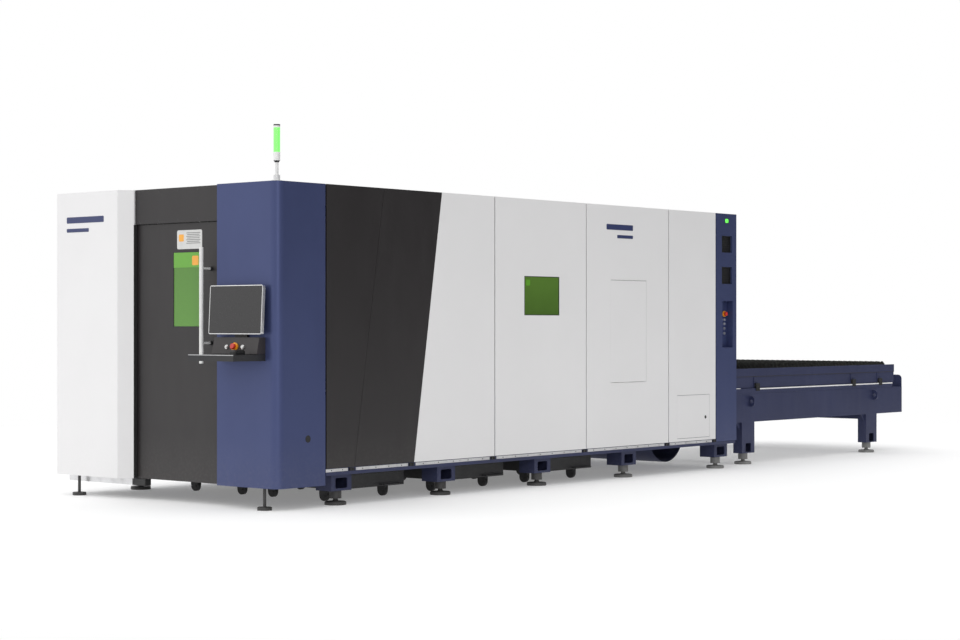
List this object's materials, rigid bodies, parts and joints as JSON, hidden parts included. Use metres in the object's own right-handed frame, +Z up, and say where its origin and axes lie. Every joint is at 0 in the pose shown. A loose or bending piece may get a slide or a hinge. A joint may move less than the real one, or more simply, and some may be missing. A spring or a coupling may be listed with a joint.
{
  "type": "fiber laser cutting machine",
  "caption": "Enclosed flatbed laser cutting machine for sheet metal, with a sliding door, operator console, moving gantry, shuttle pallets and scrap carts.",
  "frame": {"origin": "on the floor, in the middle of the whole machine's length and width", "axes": "+X from the operator's end to the pallet changer, -Y towards the long side with the window, +Z up"},
  "size_m": [9.09, 2.282, 2.594],
  "materials": {
    "blue_paint": "satin",
    "dark_paint": "satin",
    "white_paint": "satin",
    "blue_steel": "satin",
    "dark_steel": "matt",
    "slat_steel": "brushed",
    "wheel_steel": "turned",
    "foot_steel": "blackened",
    "rail_steel": "ground",
    "aluminium": "satin",
    "silver_trim": "satin",
    "black_plastic": "matt",
    "white_plastic": "gloss",
    "red_plastic": "gloss",
    "yellow_plastic": "gloss",
    "green_pane": "gloss",
    "green_lens": "gloss",
    "machine_grey": "satin"
  },
  "bodies": {
    "machine": {"bed_frame": "blue_steel", "enclosure_frame": "dark_steel", "levelling_feet": "foot_steel", "corner_column": "blue_paint", "front_header": "dark_paint", "front_left_cover": "white_paint", "door_tracks": "aluminium", "side_window": "green_pane", "rear_columns": "blue_paint", "vent_inserts": "black_plastic", "far_side_panels": "white_paint", "base_strips": "aluminium", "seam_blocks": "black_plastic", "roof_panels": "white_paint", "rear_bulkhead": "dark_paint", "exhaust_trough": "blue_steel", "console_housing": "dark_steel", "keyboard_tray": "dark_steel", "mouse": "black_plastic", "changer_frame": "blue_steel", "drive_unit": "machine_grey", "gantry_rails": "rail_steel", "side_panel_dark_front": "dark_paint", "side_panel_dark_rear": "dark_paint", "side_panel_white_1": "white_paint", "side_panel_white_2": "white_paint", "side_panel_white_3": "white_paint", "side_panel_white_4": "white_paint", "estop_bases": "yellow_plastic", "button_bezels": "silver_trim", "tower_light_pole": "white_plastic", "tower_light_lens": "green_lens", "tower_light_caps": "black_plastic"},
    "door": {"door_panel": "dark_paint", "door_window": "green_pane", "door_handle": "white_plastic"},
    "screen": {"screen_unit": "silver_trim"},
    "console_stop": {"estop_button": "red_plastic"},
    "console_button_left": {"start_button": "white_plastic"},
    "console_button_right": {"stop_button": "white_plastic"},
    "rear_stop": {"rear_estop_button": "red_plastic"},
    "rear_push_1": {"rear_button_1": "silver_trim"},
    "rear_push_2": {"rear_button_2": "silver_trim"},
    "rear_push_3": {"rear_button_3": "silver_trim"},
    "rear_push_4": {"rear_button_4": "silver_trim"},
    "access": {"access_door": "white_paint"},
    "hatch": {"service_hatch": "white_paint"},
    "latch": {"hatch_latch": "black_plastic"},
    "gantry": {"gantry_beam": "machine_grey"},
    "carriage": {"head_carriage": "dark_steel"},
    "head": {"cutting_head": "silver_trim"},
    "upper_pallet": {"upper_pallet_frame": "blue_steel", "upper_pallet_slats": "slat_steel", "upper_pallet_wheels": "wheel_steel"},
    "lower_pallet": {"lower_pallet_frame": "blue_steel", "lower_pallet_slats": "slat_steel", "lower_pallet_wheels": "wheel_steel"},
    "cart_1": {"scrap_cart_1": "dark_steel"},
    "cart_2": {"scrap_cart_2": "dark_steel"},
    "cart_3": {"scrap_cart_3": "dark_steel"}
  },
  "joints": [
    {"name": "door_slide", "type": "slide", "parent": "machine", "child": "door", "axis": [0, 1, 0], "range_m": [0, 0.7]},
    {"name": "screen_tilt", "type": "hinge", "parent": "machine", "child": "screen", "pos_m": [-4.275, -0.8055, 1.3495], "axis": [0, 1, 0], "range_deg": [-8, 4]},
    {"name": "console_stop_press", "type": "slide", "parent": "machine", "child": "console_stop", "axis": [0.9736, 0, -0.2281], "range_m": [0, 0.005], "stiffness_N_per_m": 400},
    {"name": "left_button_press", "type": "slide", "parent": "machine", "child": "console_button_left", "axis": [0.9736, 0, -0.2281], "range_m": [0, 0.003], "stiffness_N_per_m": 400},
    {"name": "right_button_press", "type": "slide", "parent": "machine", "child": "console_button_right", "axis": [0.9736, 0, -0.2281], "range_m": [0, 0.003], "stiffness_N_per_m": 400},
    {"name": "rear_stop_press", "type": "slide", "parent": "machine", "child": "rear_stop", "axis": [0, 1, 0], "range_m": [0, 0.0045], "stiffness_N_per_m": 400},
    {"name": "rear_button_1_press", "type": "slide", "parent": "machine", "child": "rear_push_1", "axis": [0, 1, 0], "range_m": [0, 0.003], "stiffness_N_per_m": 400},
    {"name": "rear_button_2_press", "type": "slide", "parent": "machine", "child": "rear_push_2", "axis": [0, 1, 0], "range_m": [0, 0.003], "stiffness_N_per_m": 400},
    {"name": "rear_button_3_press", "type": "slide", "parent": "machine", "child": "rear_push_3", "axis": [0, 1, 0], "range_m": [0, 0.003], "stiffness_N_per_m": 400},
    {"name": "rear_button_4_press", "type": "slide", "parent": "machine", "child": "rear_push_4", "axis": [0, 1, 0], "range_m": [0, 0.003], "stiffness_N_per_m": 400},
    {"name": "access_hinge", "type": "hinge", "parent": "machine", "child": "access", "pos_m": [-0.534, -1.14, 1.194], "axis": [0, 0, -1], "range_deg": [0, 110]},
    {"name": "hatch_hinge", "type": "hinge", "parent": "machine", "child": "hatch", "pos_m": [0.4, -1.14, 0.47], "axis": [0, 0, -1], "range_deg": [0, 110]},
    {"name": "latch_turn", "type": "hinge", "parent": "hatch", "child": "latch", "pos_m": [0.821, -1.14, 0.459], "axis": [0, -1, 0], "range_deg": [0, 90]},
    {"name": "gantry_travel", "type": "slide", "parent": "machine", "child": "gantry", "axis": [1, 0, 0], "range_m": [-2.5, 0.85]},
    {"name": "carriage_travel", "type": "slide", "parent": "gantry", "child": "carriage", "axis": [0, 1, 0], "range_m": [-0.76, 0.76]},
    {"name": "head_lift", "type": "slide", "parent": "carriage", "child": "head", "axis": [0, 0, 1], "range_m": [-0.1, 0]},
    {"name": "upper_pallet_travel", "type": "slide", "parent": "machine", "child": "upper_pallet", "axis": [-1, 0, 0], "range_m": [0, 4.9]},
    {"name": "lower_pallet_travel", "type": "slide", "parent": "machine", "child": "lower_pallet", "axis": [1, 0, 0], "range_m": [0, 4.9]},
    {"name": "cart_1_roll", "type": "slide", "parent": "machine", "child": "cart_1", "axis": [0, -1, 0], "range_m": [0, 0.9]},
    {"name": "cart_2_roll", "type": "slide", "parent": "machine", "child": "cart_2", "axis": [0, -1, 0], "range_m": [0, 0.9]},
    {"name": "cart_3_roll", "type": "slide", "parent": "machine", "child": "cart_3", "axis": [0, -1, 0], "range_m": [0, 0.9]}
  ]
}
